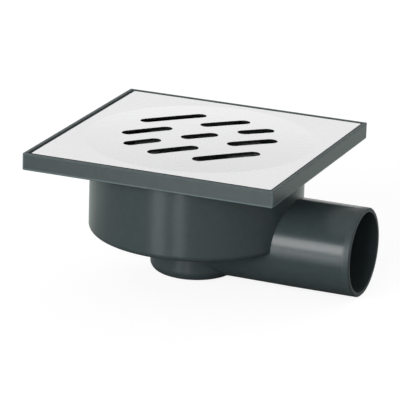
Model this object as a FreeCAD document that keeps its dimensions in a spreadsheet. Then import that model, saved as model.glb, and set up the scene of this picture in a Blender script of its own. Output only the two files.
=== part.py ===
import FreeCAD, Part
import math
import os
import Sketcher
from FreeCAD import Placement, Rotation, Vector

# A low floor gully with a horizontal outlet: a moulded body with a square frame, a round pot and a
# standpipe, a bell that hangs over the standpipe and keeps the water seal, and a loose punched grate.
#
# The origin is the middle of the round boss that the gully stands on, under the standpipe.
# +X runs along the outlet, +Z up. Lengths are in millimetres, angles in degrees.

SIZES = {
    # the whole body
    "overall_height": 76.8,
    "pipe_radius": 25.0,
    "pipe_wall": 2.4,
    "pipe_lift": 0.2,
    "pipe_reach": 100.5,
    "pipe_draft": 0.5,
    "pipe_shoulder": 0.5,
    "pipe_bevel": 0.5,
    "boss_round": 5.2,
    # the square frame
    "frame_side": 147.0,
    "frame_depth": 9.4,
    "frame_corner": 0.8,
    "frame_wall": 2.4,
    "edge_chamfer": 0.5,
    "rim_width": 2.0,
    "seat_depth": 1.0,
    "deck_wall": 2.4,
    "rib_wall": 1.8,
    "rib_rise": 0.6,
    # the pot
    "pot_gap": 10.9,
    "pot_base": 23.5,
    "pot_wall": 2.4,
    "pot_round": 3.0,
    "mouth_chamfer": 1.4,
    "floor_chamfer": 1.6,
    # the bell
    "bell_radius": 37.5,
    "bell_wall": 2.0,
    "bell_chamfer": 2.4,
    "bell_head": 6.5,
    "bell_top_gap": 0.6,
    "bell_tunnel_gap": 1.2,
    "bell_rib_wall": 1.8,
    "tongue_drop": 7.0,
    "tongue_width": 8.0,
    "tongue_gap": 0.6,
    "grip_length": 24.0,
    "grip_width": 3.0,
    "grip_height": 2.0,
    # the grate
    "grate_gap": 1.3,
    "grate_shift": 1.1,
    "grate_thickness": 1.2,
    "grate_corner": 1.0,
    "crown_radius": 1600.0,
    "crown_rise": 1.3,
    "slot_angle": 45.0,
    "slot_width": 7.8,
    "slot_long": 40.0,
    "slot_medium": 30.0,
    "slot_short": 22.0,
    "row_pitch": 19.25,
    "medium_step": 47.4,
    "short_step": 34.25,
}

# Heights above the base and radii that follow from the sizes, as expressions of the sheet.
RIM = "Sizes.overall_height"
DECK = "(Sizes.overall_height - Sizes.seat_depth)"
FRAME_FOOT = "(Sizes.overall_height - Sizes.frame_depth)"
CAVITY_ROOF = "(Sizes.overall_height - Sizes.seat_depth - Sizes.deck_wall)"
PIPE_AXIS = "(Sizes.pipe_radius + Sizes.pipe_lift)"
PIPE_CROWN = "(2 * Sizes.pipe_radius + Sizes.pipe_lift)"
BORE = "(Sizes.pipe_radius - Sizes.pipe_wall)"
# the pot stands inside the skirt with a gap between them
POT_RADIUS = "(Sizes.frame_side / 2 - Sizes.frame_wall - Sizes.pot_gap)"
CHAMBER_RADIUS = f"({POT_RADIUS} - Sizes.pot_wall)"
SKIRT_INSIDE = "(Sizes.frame_side - 2 * Sizes.frame_wall)"
RECESS_SIDE = "(Sizes.frame_side - 2 * Sizes.rim_width)"
STANDPIPE = (
    "(Sizes.overall_height - Sizes.seat_depth - Sizes.bell_top_gap - Sizes.grip_height"
    " - Sizes.bell_wall - Sizes.bell_head)"
)
SEAL_DEPTH = f"({STANDPIPE} - {PIPE_CROWN} - Sizes.bell_tunnel_gap)"
BELL_TOP = "(Sizes.bell_head + Sizes.bell_wall)"
BELL_INSIDE = "(Sizes.bell_radius - Sizes.bell_wall)"
# the bell's inner bevel keeps the wall as thick across the corner as beside it
INNER_CHAMFER = "(Sizes.bell_chamfer - (2 - sqrt(2)) * Sizes.bell_wall)"
GRATE_SIDE = f"({RECESS_SIDE} - 2 * Sizes.grate_gap)"
# from the middle of the crown's spheres up to the underside of the grate's flat border
CROWN_DEPTH = "(Sizes.crown_radius - Sizes.grate_thickness - Sizes.crown_rise)"

# How far a cutting tool runs past the faces that it cuts through.
OVERCUT = 1.0

# The frame's ribs repeat in each quarter; the bell has one rib in each.
QUARTERS = 4

doc = FreeCAD.newDocument("gully_trap")
sheet = doc.addObject("Spreadsheet::Sheet", "Sizes")
for row, (alias, value) in enumerate(SIZES.items(), start=1):
    sheet.set(f"A{row}", alias)
    sheet.set(f"B{row}", str(value))
    sheet.setAlias(f"B{row}", alias)
doc.recompute()


def number(expression):
    """Returns the present value of an expression of the sheet's sizes."""
    return float(sheet.evalExpression(expression))


def origin_part(body, role):
    """Returns one plane or axis of a body's own origin."""
    return next(item for item in body.Origin.OriginFeatures if item.Role == role)


def start_sketch(body, name, role, offset_axis=None, offset="0"):
    """Starts a sketch on an origin plane, moved along one of the sketch's own axes by an expression."""
    sketch = body.newObject("Sketcher::SketchObject", name)
    sketch.AttachmentSupport = (origin_part(body, role), [""])
    sketch.MapMode = "FlatFace"
    if offset_axis:
        sketch.setExpression(f"AttachmentOffset.Base.{offset_axis}", offset)
    return sketch


def start_radial_sketch(body, name, turn=180):
    """Starts a sketch in an upright half plane; at 180 degrees its seam is away from the outlet."""
    sketch = start_sketch(body, name, "XZ_Plane")
    sketch.AttachmentOffset = Placement(Vector(0, 0, 0), Rotation(Vector(0, 1, 0), turn))
    return sketch


def pin(sketch, geometry, end, axis, expression):
    """Holds one coordinate of a sketch point at an expression of the sizes."""
    if expression == "0":
        line_through_origin = -2 if axis == "X" else -1
        sketch.addConstraint(Sketcher.Constraint("PointOnObject", geometry, end, line_through_origin))
        return
    constraint = Sketcher.Constraint(f"Distance{axis}", -1, 1, geometry, end, number(expression))
    index = sketch.addConstraint(constraint)
    sketch.setExpression(f"Constraints[{index}]", expression)


def draw_outline(sketch, points):
    """Draws a closed outline through points, each a pair of expressions."""
    places = [Vector(number(across), number(up), 0) for across, up in points]
    lines = []
    for start, end in zip(places, places[1:] + places[:1]):
        lines.append(sketch.addGeometry(Part.LineSegment(start, end)))
    for line, following in zip(lines, lines[1:] + lines[:1]):
        sketch.addConstraint(Sketcher.Constraint("Coincident", line, 2, following, 1))
    for line, (across, up) in zip(lines, points):
        pin(sketch, line, 1, "X", across)
        pin(sketch, line, 1, "Y", up)


def draw_rectangle(sketch, width, height):
    """Draws a rectangle with its middle at the sketch's origin."""
    half_width = f"{width} / 2"
    half_height = f"{height} / 2"
    draw_outline(sketch, [
        (f"0 - {half_width}", f"0 - {half_height}"),
        (half_width, f"0 - {half_height}"),
        (half_width, half_height),
        (f"0 - {half_width}", half_height),
    ])


def draw_circle(sketch, radius):
    """Draws a circle round the sketch's origin."""
    circle = sketch.addGeometry(Part.Circle(Vector(0, 0, 0), Vector(0, 0, 1), number(radius)))
    sketch.addConstraint(Sketcher.Constraint("Coincident", circle, 3, -1, 1))
    index = sketch.addConstraint(Sketcher.Constraint("Radius", circle, number(radius)))
    sketch.setExpression(f"Constraints[{index}]", radius)


def draw_slot(sketch, middle, row, length):
    """Draws a round-ended slot along the sketch's X axis."""
    reach = f"({length} - Sizes.slot_width) / 2"
    left, right = f"{middle} - {reach}", f"{middle} + {reach}"
    radius = number("Sizes.slot_width / 2")
    left_place = Vector(number(left), number(row), 0)
    right_place = Vector(number(right), number(row), 0)
    rise = Vector(0, radius, 0)
    upper = sketch.addGeometry(Part.LineSegment(right_place + rise, left_place + rise))
    lower = sketch.addGeometry(Part.LineSegment(left_place - rise, right_place - rise))
    ends = []
    for place, turn in ((left_place, 90), (right_place, -90)):
        circle = Part.Circle(place, Vector(0, 0, 1), radius)
        arc = Part.ArcOfCircle(circle, math.radians(turn), math.radians(turn + 180))
        ends.append(sketch.addGeometry(arc))
    left_end, right_end = ends
    sketch.addConstraint(Sketcher.Constraint("Tangent", upper, 2, left_end, 1))
    sketch.addConstraint(Sketcher.Constraint("Tangent", left_end, 2, lower, 1))
    sketch.addConstraint(Sketcher.Constraint("Tangent", lower, 2, right_end, 1))
    sketch.addConstraint(Sketcher.Constraint("Tangent", right_end, 2, upper, 1))
    for arc, across in ((left_end, left), (right_end, right)):
        index = sketch.addConstraint(Sketcher.Constraint("Radius", arc, radius))
        sketch.setExpression(f"Constraints[{index}]", "Sizes.slot_width / 2")
        pin(sketch, arc, 3, "X", across)
        pin(sketch, arc, 3, "Y", row)


def pad(body, name, sketch, length, midplane=False):
    """Raises a sketch into a solid."""
    feature = body.newObject("PartDesign::Pad", name)
    feature.Profile = sketch
    feature.Midplane = midplane
    feature.setExpression("Length", length)
    doc.recompute()
    return feature


def pocket(body, name, sketch, depth, upwards=False):
    """Sinks a sketch into the solid, along its normal or against it."""
    before = body.Tip.Shape.Volume
    feature = body.newObject("PartDesign::Pocket", name)
    feature.Profile = sketch
    feature.Reversed = upwards
    feature.setExpression("Length", depth)
    doc.recompute()
    assert feature.Shape.Volume < before, f"{name} cuts nothing"
    return feature


def revolve(body, name, sketch, axis="V_Axis", cut=False):
    """Turns a sketch a full turn about one of its axes, to add or to cut."""
    before = body.Tip.Shape.Volume if cut else 0
    feature = body.newObject("PartDesign::Groove" if cut else "PartDesign::Revolution", name)
    feature.Profile = sketch
    feature.ReferenceAxis = (sketch, [axis])
    feature.Angle = 360
    doc.recompute()
    assert not cut or feature.Shape.Volume < before, f"{name} cuts nothing"
    return feature


def break_edges(body, name, size, wanted, rounded=True):
    """Rounds or chamfers the edges of the body's latest feature that a test picks."""
    base = body.Tip
    names = [f"Edge{i}" for i, edge in enumerate(base.Shape.Edges, start=1) if wanted(edge)]
    assert names, f"{name} finds no edge"
    feature = body.newObject("PartDesign::Fillet" if rounded else "PartDesign::Chamfer", name)
    feature.Base = (base, names)
    feature.setExpression("Radius" if rounded else "Size", size)
    doc.recompute()
    return feature


def repeat_in_quarters(body, name, features):
    """Repeats features about the upright axis, one copy in each quarter."""
    pattern = body.newObject("PartDesign::PolarPattern", name)
    pattern.Originals = features
    pattern.Axis = (origin_part(body, "Z_Axis"), [""])
    pattern.Angle = 360
    pattern.Occurrences = QUARTERS
    body.Tip = pattern
    doc.recompute()


def upright(edge):
    """Tells whether an edge is straight and vertical."""
    direction = edge.tangentAt(edge.FirstParameter)
    return edge.Curve.TypeId == "Part::GeomLine" and abs(direction.z) > 0.999


def level(expression):
    """Makes a test for edges that lie flat at one height."""
    height = number(expression)

    def test(edge):
        box = edge.BoundBox
        return abs(box.ZMin - height) < 1e-4 and abs(box.ZMax - height) < 1e-4

    return test


def ring(radius, expression):
    """Makes a test for circles of one radius round the Z axis at one height."""
    size = number(radius)
    flat = level(expression)

    def test(edge):
        round_edge = edge.Curve.TypeId == "Part::GeomCircle"
        return round_edge and abs(edge.Curve.Radius - size) < 1e-4 and flat(edge)

    return test


def frame_ribs(body):
    """Stiffens the frame from below: three ribs in each quarter run from the pot to the skirt."""
    ribs = []
    for name, turn in (("rib_near_x", 22.5), ("rib_corner", 45), ("rib_near_y", 67.5)):
        lean = min(turn, 90 - turn)
        sketch = start_radial_sketch(body, f"{name}_side", turn)
        inner = f"{POT_RADIUS} - Sizes.pot_wall / 2"
        outer = (
            f"((Sizes.frame_side - Sizes.frame_wall) / 2 - Sizes.rib_wall / 2 * sin({lean} deg))"
            f" / cos({lean} deg)"
        )
        lower = f"{FRAME_FOOT} + Sizes.rib_rise"
        upper = f"{CAVITY_ROOF} + Sizes.deck_wall / 2"
        draw_outline(sketch, [(inner, lower), (outer, lower), (outer, upper), (inner, upper)])
        ribs.append(pad(body, name, sketch, "Sizes.rib_wall", midplane=True))
    repeat_in_quarters(body, "ribs_all_round", ribs)


def gully_body():
    """The one moulding: frame, pot, elbow, standpipe and outlet."""
    body = doc.addObject("PartDesign::Body", "gully_body")

    # the square frame, first as a block
    plan = start_sketch(body, "frame_plan", "XY_Plane", "z", FRAME_FOOT)
    draw_rectangle(plan, "Sizes.frame_side", "Sizes.frame_side")
    pad(body, "frame", plan, "Sizes.frame_depth")
    break_edges(body, "frame_corners", "Sizes.frame_corner", upright)
    break_edges(body, "skirt_edge", "Sizes.edge_chamfer", level(FRAME_FOOT), rounded=False)

    # the pot under it, solid, with its lower edge rounded
    profile = start_radial_sketch(body, "pot_profile")
    draw_outline(profile, [
        ("0", "Sizes.pot_base"),
        (POT_RADIUS, "Sizes.pot_base"),
        (POT_RADIUS, DECK),
        ("0", DECK),
    ])
    revolve(body, "pot", profile)
    break_edges(body, "pot_edge", "Sizes.pot_round", ring(POT_RADIUS, "Sizes.pot_base"))

    # the hollow under the frame between skirt and pot, and its ribs
    plan = start_sketch(body, "cavity_plan", "XY_Plane", "z", FRAME_FOOT)
    draw_rectangle(plan, SKIRT_INSIDE, SKIRT_INSIDE)
    draw_circle(plan, POT_RADIUS)
    pocket(body, "cavity", plan, f"{CAVITY_ROOF} - {FRAME_FOOT}", upwards=True)
    frame_ribs(body)

    # the seat of the grate, sunk into the frame
    plan = start_sketch(body, "seat_plan", "XY_Plane", "z", RIM)
    draw_rectangle(plan, RECESS_SIDE, RECESS_SIDE)
    pocket(body, "seat", plan, "Sizes.seat_depth")

    # the chamber inside the pot, with a chamfered mouth
    profile = start_radial_sketch(body, "chamber_profile")
    floor = "Sizes.pot_base + Sizes.pot_wall"
    draw_outline(profile, [
        ("0", floor),
        (f"{CHAMBER_RADIUS} - Sizes.floor_chamfer", floor),
        (CHAMBER_RADIUS, f"{floor} + Sizes.floor_chamfer"),
        (CHAMBER_RADIUS, f"{DECK} - Sizes.mouth_chamfer"),
        (f"{CHAMBER_RADIUS} + Sizes.mouth_chamfer", DECK),
        (f"{CHAMBER_RADIUS} + Sizes.mouth_chamfer", f"{RIM} + {OVERCUT}"),
        ("0", f"{RIM} + {OVERCUT}"),
    ])
    revolve(body, "chamber", profile, cut=True)

    # the boss that the gully stands on and the standpipe above it, still solid
    profile = start_radial_sketch(body, "standpipe_profile")
    draw_outline(profile, [
        ("0", "0"),
        ("Sizes.pipe_radius", "0"),
        ("Sizes.pipe_radius", STANDPIPE),
        ("0", STANDPIPE),
    ])
    revolve(body, "standpipe", profile)
    break_edges(body, "boss_edge", "Sizes.boss_round", ring("Sizes.pipe_radius", "0"))

    # the outlet: drafted through the chamber and the pot wall, then true to size up to a bevelled end
    profile = start_sketch(body, "outlet_profile", "XZ_Plane", "y", PIPE_AXIS)
    draw_outline(profile, [
        ("0", "0"),
        ("Sizes.pipe_reach", "0"),
        ("Sizes.pipe_reach", "Sizes.pipe_radius - Sizes.pipe_bevel"),
        ("Sizes.pipe_reach - Sizes.pipe_bevel", "Sizes.pipe_radius"),
        (f"{POT_RADIUS} + Sizes.pipe_shoulder", "Sizes.pipe_radius"),
        ("0", "Sizes.pipe_radius - Sizes.pipe_draft"),
    ])
    revolve(body, "outlet", profile, axis="H_Axis")

    # the waterway: down the standpipe and out through the outlet
    profile = start_radial_sketch(body, "standpipe_bore_profile")
    draw_outline(profile, [
        ("0", "Sizes.pipe_wall"),
        (f"{BORE} - Sizes.floor_chamfer", "Sizes.pipe_wall"),
        (BORE, "Sizes.pipe_wall + Sizes.floor_chamfer"),
        (BORE, f"{STANDPIPE} + {OVERCUT}"),
        ("0", f"{STANDPIPE} + {OVERCUT}"),
    ])
    revolve(body, "standpipe_bore", profile, cut=True)
    profile = start_sketch(body, "outlet_bore_profile", "XZ_Plane", "y", PIPE_AXIS)
    draw_outline(profile, [
        ("0", "0"),
        (f"Sizes.pipe_reach + {OVERCUT}", "0"),
        (f"Sizes.pipe_reach + {OVERCUT}", BORE),
        ("0", BORE),
    ])
    revolve(body, "outlet_bore", profile, axis="H_Axis", cut=True)
    return body


def seal_bell():
    """The bell, drawn about the rim of the standpipe that its ribs stand on, and set there."""
    body = doc.addObject("PartDesign::Body", "seal_bell")
    profile = start_radial_sketch(body, "bell_profile")
    draw_outline(profile, [
        ("0", f"0 - {SEAL_DEPTH}"),
        ("Sizes.bell_radius", f"0 - {SEAL_DEPTH}"),
        ("Sizes.bell_radius", f"{BELL_TOP} - Sizes.bell_chamfer"),
        ("Sizes.bell_radius - Sizes.bell_chamfer", BELL_TOP),
        ("0", BELL_TOP),
    ])
    revolve(body, "bell", profile)
    profile = start_radial_sketch(body, "hollow_profile")
    draw_outline(profile, [
        ("0", f"0 - {SEAL_DEPTH}"),
        (BELL_INSIDE, f"0 - {SEAL_DEPTH}"),
        (BELL_INSIDE, f"Sizes.bell_head - {INNER_CHAMFER}"),
        (f"{BELL_INSIDE} - {INNER_CHAMFER}", "Sizes.bell_head"),
        ("0", "Sizes.bell_head"),
    ])
    revolve(body, "hollow", profile, cut=True)

    # four ribs that stand on the standpipe's rim, each with a tongue that centres the bell in its bore
    side = start_radial_sketch(body, "bell_rib_side", 45)
    tongue = f"{BORE} - Sizes.tongue_gap"
    root = "Sizes.bell_head + Sizes.bell_wall / 2"
    draw_outline(side, [
        (f"{tongue} - Sizes.tongue_width", root),
        (f"{tongue} - Sizes.tongue_width", "0 - Sizes.tongue_drop"),
        (tongue, "0 - Sizes.tongue_drop"),
        (tongue, "0"),
        (f"{BELL_INSIDE} + Sizes.bell_wall / 2", "0"),
        (f"{BELL_INSIDE} + Sizes.bell_wall / 2", root),
    ])
    rib = pad(body, "bell_rib", side, "Sizes.bell_rib_wall", midplane=True)
    repeat_in_quarters(body, "bell_ribs", [rib])

    # the bar on top that fingers lift it out by
    plan = start_sketch(body, "grip_plan", "XY_Plane", "z", BELL_TOP)
    draw_rectangle(plan, "Sizes.grip_length", "Sizes.grip_width")
    pad(body, "grip", plan, "Sizes.grip_height")
    body.setExpression("Placement.Base.z", STANDPIPE)
    return body


def slotted_blank():
    """The square of the grate with its slots, thick enough for the crowned sheet to be cut out of it."""
    body = doc.addObject("PartDesign::Body", "grate_blank")
    plan = start_sketch(body, "grate_plan", "XY_Plane")
    draw_rectangle(plan, GRATE_SIDE, GRATE_SIDE)
    height = f"Sizes.grate_thickness + Sizes.crown_rise + {OVERCUT}"
    pad(body, "square", plan, height)
    break_edges(body, "grate_corners", "Sizes.grate_corner", upright)

    # five slanting rows: one long slot, two medium, three short, two medium, one long
    rows = (
        (-2, "Sizes.slot_long", "0", (0,)),
        (-1, "Sizes.slot_medium", "Sizes.medium_step", (-0.5, 0.5)),
        (0, "Sizes.slot_short", "Sizes.short_step", (-1, 0, 1)),
        (1, "Sizes.slot_medium", "Sizes.medium_step", (-0.5, 0.5)),
        (2, "Sizes.slot_long", "0", (0,)),
    )
    plan = start_sketch(body, "slots_plan", "XY_Plane")
    plan.AttachmentOffset = Placement(Vector(0, 0, 0), Rotation(Vector(0, 0, 1), 1))
    plan.setExpression("AttachmentOffset.Rotation.Angle", "Sizes.slot_angle")
    for row, length, step, places in rows:
        for place in places:
            middle = f"{place} * {step}" if place else "0"
            draw_slot(plan, middle, f"{row} * Sizes.row_pitch" if row else "0", length)
    pocket(body, "slots", plan, height, upwards=True)
    return body


def crown_sphere(name, radius):
    """One sphere of the crown, its poles and seam turned away from the grate."""
    sphere = doc.addObject("Part::Sphere", name)
    sphere.setExpression("Radius", radius)
    sphere.Placement = Placement(Vector(0, 0, 0), Rotation(Vector(1, 0, 0), 90))
    sphere.setExpression("Placement.Base.z", f"0 - {CROWN_DEPTH}")
    return sphere


def flat_sheet():
    """The sheet before it is pressed, wider than the grate."""
    slab = doc.addObject("Part::Box", "flat_sheet")
    for side in ("Length", "Width"):
        slab.setExpression(side, f"{GRATE_SIDE} + {2 * OVERCUT}")
    slab.setExpression("Height", "Sizes.grate_thickness")
    for axis in "xy":
        slab.setExpression(f"Placement.Base.{axis}", f"0 - {GRATE_SIDE} / 2 - {OVERCUT}")
    return slab


def grate():
    """The sheet, flat along its border and pressed up into a shallow crown inside it."""
    crowned = doc.addObject("Part::Fuse", "crowned")
    crowned.Base = flat_sheet()
    crowned.Tool = crown_sphere("crown_outside", "Sizes.crown_radius")
    shell = doc.addObject("Part::Cut", "crown_shell")
    shell.Base = crowned
    shell.Tool = crown_sphere("crown_inside", "Sizes.crown_radius - Sizes.grate_thickness")
    sheet_metal = doc.addObject("Part::Common", "grate")
    sheet_metal.Base = slotted_blank()
    sheet_metal.Tool = shell
    # it lies in its play towards +X and -Y, as in the photo
    sheet_metal.setExpression("Placement.Base.x", "Sizes.grate_shift")
    sheet_metal.setExpression("Placement.Base.y", "0 - Sizes.grate_shift")
    sheet_metal.setExpression("Placement.Base.z", DECK)
    doc.recompute()
    return sheet_metal


pieces = [gully_body(), seal_bell(), grate()]
doc.recompute()

for item in doc.Objects:
    assert "Invalid" not in item.State and "Error" not in item.State, f"{item.Label} failed: {item.State}"

os.makedirs("parts", exist_ok=True)
for piece in pieces:
    shape = piece.Shape
    sound = not shape.isNull() and shape.isValid() and len(shape.Solids) == 1
    assert sound, f"{piece.Label} is not one good solid"
    shape.exportStep(f"parts/{piece.Label}.step")
    box = shape.BoundBox
    print(
        f"{piece.Label}: {shape.Volume / 1000:.1f} cm3, x {box.XMin:.2f} to {box.XMax:.2f},"
        f" y {box.YMin:.2f} to {box.YMax:.2f}, z {box.ZMin:.2f} to {box.ZMax:.2f}"
    )
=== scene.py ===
import math

import bmesh
import bpy
from mathutils import Matrix, Vector


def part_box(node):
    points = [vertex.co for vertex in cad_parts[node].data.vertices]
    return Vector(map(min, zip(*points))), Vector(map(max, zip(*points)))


bl_info = {
    "name": "Floor gully looks",
    "version": (1, 0, 0),
    "blender": (4, 5, 0),
    "location": "3D View > Sidebar > Gully",
    "description": "Finishes for a moulded floor gully, its seal bell and its slotted grate",
    "category": "Object",
}

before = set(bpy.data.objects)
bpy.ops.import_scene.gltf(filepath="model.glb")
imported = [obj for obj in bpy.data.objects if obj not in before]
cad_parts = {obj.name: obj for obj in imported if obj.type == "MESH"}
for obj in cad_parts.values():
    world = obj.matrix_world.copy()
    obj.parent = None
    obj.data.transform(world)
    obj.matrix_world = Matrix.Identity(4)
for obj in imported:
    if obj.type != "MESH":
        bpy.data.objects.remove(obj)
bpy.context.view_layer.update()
BODY_LOW, BODY_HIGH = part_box("gully_body")
MM = 0.001

# Sizes of the body that its box doesn't tell.
FRAME_HEIGHT = 9.4 * MM
PIPE_RADIUS = 25.0 * MM
PIPE_AXIS = 25.2 * MM
BOSS_TOP = 23.5 * MM
FRAME_BOX = ((BODY_LOW.x, BODY_LOW.y, BODY_HIGH.z - FRAME_HEIGHT), (-BODY_LOW.x, BODY_HIGH.y, BODY_HIGH.z))

# How deep the sawn face of the pipe reaches, and where the scuffed ring before it begins and is full.
SAWN_DEPTH = 0.3 * MM
SCUFF_START = 4.8 * MM
SCUFF_FULL = 1.6 * MM

# Gloss lost where the plastic is worn, as roughness added.
WORN_RIM = 0.30
WORN_BOSS = 0.12
WORN_PIPE = 0.22
WORN_SAWN = 0.18

# The upright soft lamps: azimuth in degrees, then distance, foot, head and width in metres.
LAMPS = {
    "window_left": (-17.5, 3.0, 0.18, 1.40, 0.74),
    "window_right": (4.5, 3.0, 0.18, 1.40, 0.53),
    "fill": (-16.0, 3.2, 0.50, 2.00, 3.20),
    "rear": (165.0, 3.2, 0.15, 1.20, 3.20),
}

# The camera of the photograph, in the part's own frame.
CAMERA_PLACE = Vector((0.65641, -1.61398, 0.59965))
CAMERA_RIGHT = Vector((0.92261, 0.38453, 0.03041))
CAMERA_UP = Vector((-0.14435, 0.27108, 0.95167))
CAMERA_BACK = Vector((0.35770, -0.88241, 0.30561))


def colour(red, green, blue):
    """Turns a colour as it is seen on a screen, 0 to 255, into the linear one that shaders use."""
    parts = []
    for part in (red, green, blue):
        part /= 255
        parts.append(part / 12.92 if part <= 0.04045 else ((part + 0.055) / 1.055) ** 2.4)
    return tuple(parts)


def shaded(shade, share):
    """A colour made darker or lighter by a share, and never more than white."""
    return tuple(min(part * share, 1) for part in shade)


class Wire:
    """An output of a shader node. Sums of wires and numbers add the Math nodes that work them out."""

    def __init__(self, board, socket):
        self.board = board
        self.socket = socket

    def maths(self, operation, first, second):
        return self.board.node("ShaderNodeMath", {"operation": operation}, {0: first, 1: second})

    def __add__(self, other):
        return self.maths("ADD", self, other)

    def __radd__(self, other):
        return self.maths("ADD", other, self)

    def __sub__(self, other):
        return self.maths("SUBTRACT", self, other)

    def __rsub__(self, other):
        return self.maths("SUBTRACT", other, self)

    def __mul__(self, other):
        return self.maths("MULTIPLY", self, other)

    def __rmul__(self, other):
        return self.maths("MULTIPLY", other, self)


class Board:
    """A node tree that is filled one node at a time."""

    def __init__(self, owner):
        owner.use_nodes = True
        self.tree = owner.node_tree
        self.tree.nodes.clear()

    def node(self, kind, settings=(), inputs=(), output=0):
        """Adds a node: its settings first, then the numbers, colours or wires of its inputs."""
        node = self.tree.nodes.new(kind)
        for name, value in dict(settings).items():
            setattr(node, name, value)
        for name, value in dict(inputs).items():
            if isinstance(value, Wire):
                self.tree.links.new(value.socket, node.inputs[name])
            else:
                node.inputs[name].default_value = value
        return Wire(self, node.outputs[output]) if node.outputs else None

    def place(self):
        """The position on the piece, in metres."""
        return self.node("ShaderNodeTexCoord", output="Object")

    def part_of(self, vector, axis):
        """One of the three parts of a vector."""
        return self.node("ShaderNodeSeparateXYZ", {}, {"Vector": vector}, output=axis)

    def along(self, axis):
        """The position on the piece along one axis, in metres."""
        return self.part_of(self.place(), axis)

    def flatness(self):
        """How level the surface lies: 0 on an upright wall, 1 on a flat top or underside."""
        facing = self.node("ShaderNodeNewGeometry", output="True Normal")
        return self.node("ShaderNodeMath", {"operation": "ABSOLUTE"}, {0: self.part_of(facing, "Z")})

    def stretched(self, scale, shift=(0.0, 0.0, 0.0)):
        """The position, stretched by a scale for each axis and then shifted."""
        return self.node("ShaderNodeMapping", {}, {
            "Vector": self.place(), "Scale": scale, "Location": shift,
        })

    def length_of(self, vector):
        """The length of a vector, in metres."""
        return self.node("ShaderNodeVectorMath", {"operation": "LENGTH"}, {0: vector}, output="Value")

    def noise(self, where, scale, detail=2.0, roughness=0.5):
        """Soft noise from 0 to 1 about a middle of 0.5."""
        return self.node("ShaderNodeTexNoise", {}, {
            "Vector": where, "Scale": scale, "Detail": detail, "Roughness": roughness,
        })

    def blend(self, amount, first, second):
        """A mix of two colours."""
        return self.node("ShaderNodeMix", {"data_type": "RGBA"}, {
            0: amount, 6: (*first, 1) if isinstance(first, tuple) else first,
            7: (*second, 1) if isinstance(second, tuple) else second,
        }, output=2)

    def step(self, value, start, end):
        """Goes smoothly from 0 to 1 between two values."""
        return self.node("ShaderNodeMapRange", {"interpolation_type": "SMOOTHSTEP"}, {
            "Value": value, "From Min": start, "From Max": end,
        })

    def grained(self, height, depth, edge_softness):
        """A normal with dents of a real depth in metres, and with sharp edges that look softened."""
        rounded = self.node("ShaderNodeBevel", {"samples": 6}, {"Radius": edge_softness})
        return self.node("ShaderNodeBump", {}, {
            "Height": height, "Distance": depth, "Strength": 1.0, "Normal": rounded,
        })

    def finish(self, inputs):
        """Ends the tree in one plastic or metal shader."""
        shader = self.node("ShaderNodeBsdfPrincipled", {}, inputs)
        self.node("ShaderNodeOutputMaterial", {}, {"Surface": shader})


def painted_edge_highlights(board, box):
    """1 along the foot and the upright corners of a box, less along its top edge, and 0 elsewhere. It marks
    the painted highlight along the edges.
    """
    near = {}
    for axis, (low, high) in zip("XYZ", zip(*box)):
        place = board.along(axis)
        strength = 0.4 if axis == "Z" else 1.0
        near_low = 1 - board.step(place - low, 0.6 * MM, 1.4 * MM)
        near[axis] = near_low + board.step(place - high, -1.0 * MM, -0.4 * MM) * strength
    corners = near["X"] * near["Y"]
    sides = near["X"] + near["Y"] - corners
    above_foot = board.step(board.along("Z") - box[0][2], -0.4 * MM, -0.1 * MM)
    return (corners + near["Z"] * sides) * above_foot


def rim_top(board, box):
    """1 on the top of a box and 0 a little below it."""
    return board.step(board.along("Z") - box[1][2], -0.9 * MM, -0.4 * MM)


def boss_side(board):
    """1 on the boss under the pot, and 0 elsewhere. There the boss is made rougher, scuffed by what the part
    is set down on, and darkened by painted shade.
    """
    radius = board.length_of(board.stretched((1.0, 1.0, 0.0)))
    outside = board.step(radius, PIPE_RADIUS + 0.2 * MM, PIPE_RADIUS + 1.2 * MM)
    above = board.step(board.along("Z"), BOSS_TOP - 2.5 * MM, BOSS_TOP)
    return (1 - outside) * (1 - above)


def pipe_end(board, end):
    """1 on the outside of the pipe's last few millimetres, which fittings scuff, and 0 elsewhere."""
    radius = board.length_of(board.stretched((0.0, 1.0, 1.0), (0.0, 0.0, -PIPE_AXIS)))
    reach = board.step(board.along("X"), end - SCUFF_START, end - SCUFF_FULL)
    return reach * board.step(radius, PIPE_RADIUS - 1.6 * MM, PIPE_RADIUS - 0.8 * MM)


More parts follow.
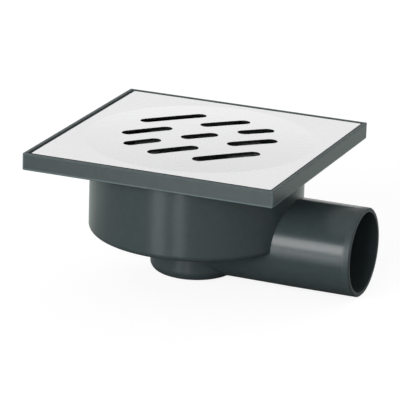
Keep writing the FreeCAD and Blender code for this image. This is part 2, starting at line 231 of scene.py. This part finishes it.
def moulded_plastic(name, settings, shade, wear_and_painted_light=False):
    """Satin ABS as it leaves the mould, uneven in tone.

    The one with wear and painted light, for the gully body, has a frame whose top is rubbed rougher and whose
    edges carry a painted highlight, a scuffed boss that is rougher and darkened by painted shade, and a sawn
    pipe end that is duller and darkened by painted shade.
    """
    material = bpy.data.materials.new(name)
    board = Board(material)
    where = board.place()
    # clouds about 40 mm and 4 mm across, flow lines that lie level, and the mould's fine grain
    clouds = board.noise(where, 28.0, 3.0) * 0.5 + board.noise(where, 260.0, 2.0) * 0.5
    flow = board.noise(board.stretched((20.0, 20.0, 160.0)), 1.0, 3.0)
    grain = board.noise(where, 1 / settings.grain, 3.0, 0.6)
    tone = board.blend(clouds, shaded(shade, 1 - settings.unevenness), shaded(shade, 1 + settings.unevenness))
    roughness = settings.roughness + (grain - 0.5) * 0.06 + (flow - 0.5) * 0.05
    if wear_and_painted_light:
        boss = boss_side(board)
        end = BODY_HIGH.x - SAWN_DEPTH
        sawn = board.step(board.along("X"), end, end + 0.2 * MM)
        # painted highlight: the frame's foot, upright corners and top edge are made lighter
        tone = board.blend(painted_edge_highlights(board, FRAME_BOX), tone, shaded(shade, settings.edge_highlight_tone))
        # painted shade: the boss is darkened
        tone = board.blend(boss, tone, shaded(shade, settings.boss_painted_shade))
        # painted shade: the sawn end face is darkened; it is also made rougher below
        tone = board.blend(sawn, tone, shaded(shade, settings.sawn_painted_shade))
        roughness = roughness + rim_top(board, FRAME_BOX) * WORN_RIM + boss * WORN_BOSS
        roughness = roughness + pipe_end(board, end) * WORN_PIPE + sawn * WORN_SAWN
    board.finish({
        "Base Color": tone,
        "Roughness": roughness,
        "IOR": 1.5,
        "Normal": board.grained(grain, settings.grain * 0.02, settings.edge_softness),
    })
    return material


def satin_steel(name, settings):
    """Stainless sheet with a fine satin grain that runs one way. Its upright punched edges lose the metal's
    shine and are coloured near black, which is painted shade.
    """
    material = bpy.data.materials.new(name)
    board = Board(material)
    lines = board.noise(board.stretched((30.0, 1 / settings.line_width, 30.0)), 1.0, 3.0, 0.6)
    clouds = board.noise(board.place(), 16.0, 2.0)
    shade = tuple(settings.shade)
    face = board.flatness()
    polished = board.blend(lines, shaded(shade, 0.985), shaded(shade, 1.015))
    board.finish({
        # painted shade: upright faces, the slot walls and cut edges, take the near-black edge colour
        "Base Color": board.blend(face, tuple(settings.edge_painted_shadow), polished),
        "Metallic": settings.metallic * face,
        "Roughness": settings.roughness + (lines - 0.5) * 0.10 + (clouds - 0.5) * 0.05,
        "Normal": board.grained(lines, settings.line_width * 0.003, settings.edge_softness),
    })
    return material


def dress(node, material):
    """Gives a CAD node a new material in every slot and keeps its mesh as it is."""
    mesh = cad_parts[node].data
    if not mesh.materials:
        mesh.materials.append(material)
    for index in range(len(mesh.materials)):
        mesh.materials[index] = material


class GULLY_PG_plastic(bpy.types.PropertyGroup):
    """The moulded plastic of the body and the bell."""

    body_shade: bpy.props.FloatVectorProperty(
        name="Body colour", description="Colour of the gully body", subtype="COLOR", size=3,
        min=0, max=1, default=colour(66, 77, 78))
    bell_shade: bpy.props.FloatVectorProperty(
        name="Bell colour", description="Colour of the seal bell", subtype="COLOR", size=3,
        min=0, max=1, default=colour(48, 56, 57))
    roughness: bpy.props.FloatProperty(
        name="Roughness", description="How dull the plastic is", subtype="FACTOR",
        min=0, max=1, default=0.22)
    grain: bpy.props.FloatProperty(
        name="Grain", description="Size of the grain that the mould leaves", unit="LENGTH",
        min=0.0001, default=0.0006)
    # brightness of the painted shade on the sawn end
    sawn_painted_shade: bpy.props.FloatProperty(
        name="Sawn tone", description="Brightness of the sawn end beside the rest", subtype="FACTOR",
        min=0, max=1, default=0.8)
    # brightness of the painted shade on the boss
    boss_painted_shade: bpy.props.FloatProperty(
        name="Boss tone", description="Brightness of the scuffed boss beside the rest", subtype="FACTOR",
        min=0, max=1, default=0.87)
    # brightness of the painted highlight along the frame's edges
    edge_highlight_tone: bpy.props.FloatProperty(
        name="Edge tone", description="Brightness of the rubbed edges beside the rest",
        min=0, default=2.6)
    unevenness: bpy.props.FloatProperty(
        name="Unevenness", description="Share by which the tone drifts", subtype="FACTOR",
        min=0, max=1, default=0.20)
    edge_softness: bpy.props.FloatProperty(
        name="Edge softness", description="Radius that sharp edges seem to have", unit="LENGTH",
        min=0, default=0.0004)


class GULLY_PG_steel(bpy.types.PropertyGroup):
    """The stainless sheet of the grate."""

    shade: bpy.props.FloatVectorProperty(
        name="Colour", description="Colour of the bare steel", subtype="COLOR", size=3,
        min=0, max=1, default=colour(249, 249, 250))
    # near-black colour of the upright cut edges and slot walls, a painted shade
    edge_painted_shadow: bpy.props.FloatVectorProperty(
        name="Edge colour", description="Colour of the cut edges", subtype="COLOR", size=3,
        min=0, max=1, default=colour(22, 23, 23))
    metallic: bpy.props.FloatProperty(
        name="Metallic", description="Share of the shine that is metal's own", subtype="FACTOR",
        min=0, max=1, default=0.9)
    roughness: bpy.props.FloatProperty(
        name="Roughness", description="How dull the sheet is", subtype="FACTOR",
        min=0, max=1, default=0.28)
    line_width: bpy.props.FloatProperty(
        name="Line width", description="Width of the satin lines", unit="LENGTH",
        min=0.00005, default=0.0004)
    edge_softness: bpy.props.FloatProperty(
        name="Edge softness", description="Radius that sharp edges seem to have", unit="LENGTH",
        min=0, default=0.0003)


class GULLY_PG_studio(bpy.types.PropertyGroup):
    """Floor, background, lamps and camera."""

    surround: bpy.props.FloatProperty(
        name="Surround", description="Strength of the soft light from all round",
        min=0, default=0.27)
    ceiling: bpy.props.FloatProperty(
        name="Ceiling", description="Brightness of the ceiling as gloss shows it",
        min=0, default=0.60)
    window_power: bpy.props.FloatProperty(
        name="Window power", description="Power of each square metre of the two windows",
        min=0, default=19.0)
    fill_power: bpy.props.FloatProperty(
        name="Fill power", description="Power of the wide soft lamp in front", subtype="POWER",
        min=0, default=54.0)
    rear_power: bpy.props.FloatProperty(
        name="Rear power", description="Power of the wide soft lamp behind", subtype="POWER",
        min=0, default=70.0)
    floor_side: bpy.props.FloatProperty(
        name="Floor side", description="Side of the square floor", unit="LENGTH",
        min=0.5, default=8.0)
    lens: bpy.props.FloatProperty(
        name="Lens", description="Focal length of the camera in millimetres",
        min=10, default=293.78)


class GULLY_OT_body(bpy.types.Operator):
    """Finish the moulded body: frame, pot, boss and outlet"""

    bl_idname = "gully.body"
    bl_label = "Gully body"

    def execute(self, context):
        settings = context.scene.gully_plastic
        shade = tuple(settings.body_shade)
        dress("gully_body", moulded_plastic("Gully body plastic", settings, shade, wear_and_painted_light=True))
        return {"FINISHED"}


class GULLY_OT_bell(bpy.types.Operator):
    """Finish the seal bell under the grate"""

    bl_idname = "gully.bell"
    bl_label = "Seal bell"

    def execute(self, context):
        settings = context.scene.gully_plastic
        dress("seal_bell", moulded_plastic("Seal bell plastic", settings, tuple(settings.bell_shade)))
        return {"FINISHED"}


class GULLY_OT_grate(bpy.types.Operator):
    """Finish the slotted stainless grate"""

    bl_idname = "gully.grate"
    bl_label = "Grate"

    def execute(self, context):
        dress("grate", satin_steel("Grate steel", context.scene.gully_steel))
        return {"FINISHED"}


def lamp_area(name):
    """The area of a lamp in square metres."""
    foot, head, width = LAMPS[name][2:]
    return width * (head - foot)


def add_lamp(name, power, mirrored):
    """Adds a lamp that faces the part, at an azimuth counted from straight in front.

    A lamp that isn't mirrored lights the part and doesn't show in its gloss.
    """
    azimuth, distance, foot, head, width = LAMPS[name]
    turn = math.radians(azimuth)
    place = Vector((math.sin(turn) * distance, -math.cos(turn) * distance, (foot + head) / 2))
    lamp = bpy.data.lights.new(name, "AREA")
    lamp.shape = "RECTANGLE"
    lamp.size = width
    lamp.size_y = head - foot
    lamp.energy = power
    holder = bpy.data.objects.new(name, lamp)
    holder.location = place
    holder.rotation_euler = Vector((-place.x, -place.y, 0)).to_track_quat("-Z", "Y").to_euler()
    holder.visible_camera = False
    holder.visible_glossy = mirrored
    bpy.context.scene.collection.objects.link(holder)


def floor_finish():
    """A polished table that shows the windows, and a white sweep behind. The camera sees it all white."""
    material = bpy.data.materials.new("Studio floor")
    board = Board(material)
    seen = board.node("ShaderNodeLightPath", output="Is Camera Ray")
    shine = board.node("ShaderNodeLightPath", output="Is Glossy Ray")
    # the table ends and the sweep begins on a slanting line close behind the part
    behind = board.step(board.along("Y") - board.along("X") * 0.5, 0.0, 0.12)
    table = board.node("ShaderNodeBsdfPrincipled", {}, {
        "Base Color": (*colour(120, 120, 120), 1), "Roughness": 0.16, "IOR": 1.85,
    })
    sweep = board.node("ShaderNodeEmission", {}, {"Color": (0.90, 1.0, 0.935, 1), "Strength": 0.63})
    light = board.node("ShaderNodeMixShader", {}, {0: shine * behind, 1: table, 2: sweep})
    # glow and paint add up to white where nothing shades the floor
    glow = board.node("ShaderNodeEmission", {}, {"Color": (1, 1, 1, 1), "Strength": 0.86})
    paint = board.node("ShaderNodeBsdfDiffuse", {}, {"Color": (0.3, 0.3, 0.3, 1)})
    white = board.node("ShaderNodeAddShader", {}, {0: glow, 1: paint})
    mixed = board.node("ShaderNodeMixShader", {}, {0: seen, 1: light, 2: white})
    board.node("ShaderNodeOutputMaterial", {}, {"Surface": mixed})
    return material


def studio_world(settings):
    """Soft light from all round. Gloss shows a white sweep low down, a dim band and a grey ceiling."""
    dim = 0.10
    world = bpy.data.worlds.new("Studio white")
    board = Board(world)
    seen = board.node("ShaderNodeLightPath", output="Is Camera Ray")
    shine = board.node("ShaderNodeLightPath", output="Is Glossy Ray")
    way = board.node("ShaderNodeTexCoord", output="Generated")
    behind = board.step(board.part_of(way, "Y"), -0.35, 0.2)
    height = board.part_of(way, "Z")
    # heights are sines of the elevation, and the sweep reaches higher behind the part than before it
    low = behind * (1 - board.step(height, 0.40, 0.95)) + (1 - behind) * (1 - board.step(height, 0.22, 0.58))
    high = board.step(height, 0.55, 0.95)
    gloss = low * (1.26 - height * 1.1) + (1 - low) * dim + high * (settings.ceiling - dim)
    strength = seen + shine * gloss + (1 - seen) * (1 - shine) * settings.surround
    backdrop = board.node("ShaderNodeBackground", {}, {"Color": (1, 1, 1, 1), "Strength": strength})
    board.node("ShaderNodeOutputWorld", {}, {"Surface": backdrop})
    return world


def lay_floor(side):
    """Adds the square floor just under the part."""
    form = bmesh.new()
    bmesh.ops.create_grid(form, x_segments=1, y_segments=1, size=side / 2,
                          matrix=Matrix.Translation((0, 0, BODY_LOW.z - 0.4 * MM)))
    mesh = bpy.data.meshes.new("studio_floor")
    form.to_mesh(mesh)
    form.free()
    mesh.materials.append(floor_finish())
    floor = bpy.data.objects.new("studio_floor", mesh)
    bpy.context.scene.collection.objects.link(floor)


def set_camera(lens):
    """Adds the camera at the photograph's place and makes it the scene's own."""
    camera = bpy.data.objects.new("photo_camera", bpy.data.cameras.new("photo_camera"))
    camera.data.sensor_width = 36
    camera.data.lens = lens
    camera.data.clip_start = 0.05
    turn = Matrix((CAMERA_RIGHT, CAMERA_UP, CAMERA_BACK)).transposed()
    camera.matrix_world = Matrix.Translation(CAMERA_PLACE) @ turn.to_4x4()
    bpy.context.scene.collection.objects.link(camera)
    bpy.context.scene.camera = camera


class GULLY_OT_studio(bpy.types.Operator):
    """Set the stage: pale floor, white background, soft lamps and the camera"""

    bl_idname = "gully.studio"
    bl_label = "Studio"

    def execute(self, context):
        scene = context.scene
        settings = scene.gully_studio
        scene.view_settings.view_transform = "Standard"
        lay_floor(settings.floor_side)
        scene.world = studio_world(settings)
        for name in ("window_left", "window_right"):
            add_lamp(name, settings.window_power * lamp_area(name), mirrored=True)
        add_lamp("fill", settings.fill_power, mirrored=False)
        add_lamp("rear", settings.rear_power, mirrored=False)
        set_camera(settings.lens)
        return {"FINISHED"}


OPERATORS = (GULLY_OT_body, GULLY_OT_bell, GULLY_OT_grate, GULLY_OT_studio)
GROUPS = {
    "gully_plastic": GULLY_PG_plastic,
    "gully_steel": GULLY_PG_steel,
    "gully_studio": GULLY_PG_studio,
}


class GULLY_PT_panel(bpy.types.Panel):
    """Lists the gully's sizes, colours and steps"""

    bl_idname = "GULLY_PT_panel"
    bl_label = "Floor gully"
    bl_space_type = "VIEW_3D"
    bl_region_type = "UI"
    bl_category = "Gully"

    def draw(self, context):
        for name in GROUPS:
            settings = getattr(context.scene, name)
            box = self.layout.box()
            for field in settings.bl_rna.properties:
                if field.identifier not in ("rna_type", "name"):
                    box.prop(settings, field.identifier)
        for operator in OPERATORS:
            self.layout.operator(operator.bl_idname)


def register():
    """Adds the settings, the steps and the panel."""
    for item in (*GROUPS.values(), *OPERATORS, GULLY_PT_panel):
        bpy.utils.register_class(item)
    for name, group in GROUPS.items():
        setattr(bpy.types.Scene, name, bpy.props.PointerProperty(type=group))


def unregister():
    """Takes them away again."""
    for name in GROUPS:
        delattr(bpy.types.Scene, name)
    for item in (GULLY_PT_panel, *reversed(OPERATORS), *reversed(tuple(GROUPS.values()))):
        bpy.utils.unregister_class(item)


def main():
    """Runs every step in order."""
    register()
    bpy.ops.gully.body()
    bpy.ops.gully.bell()
    bpy.ops.gully.grate()
    bpy.ops.gully.studio()


if __name__ == "__main__":
    main()
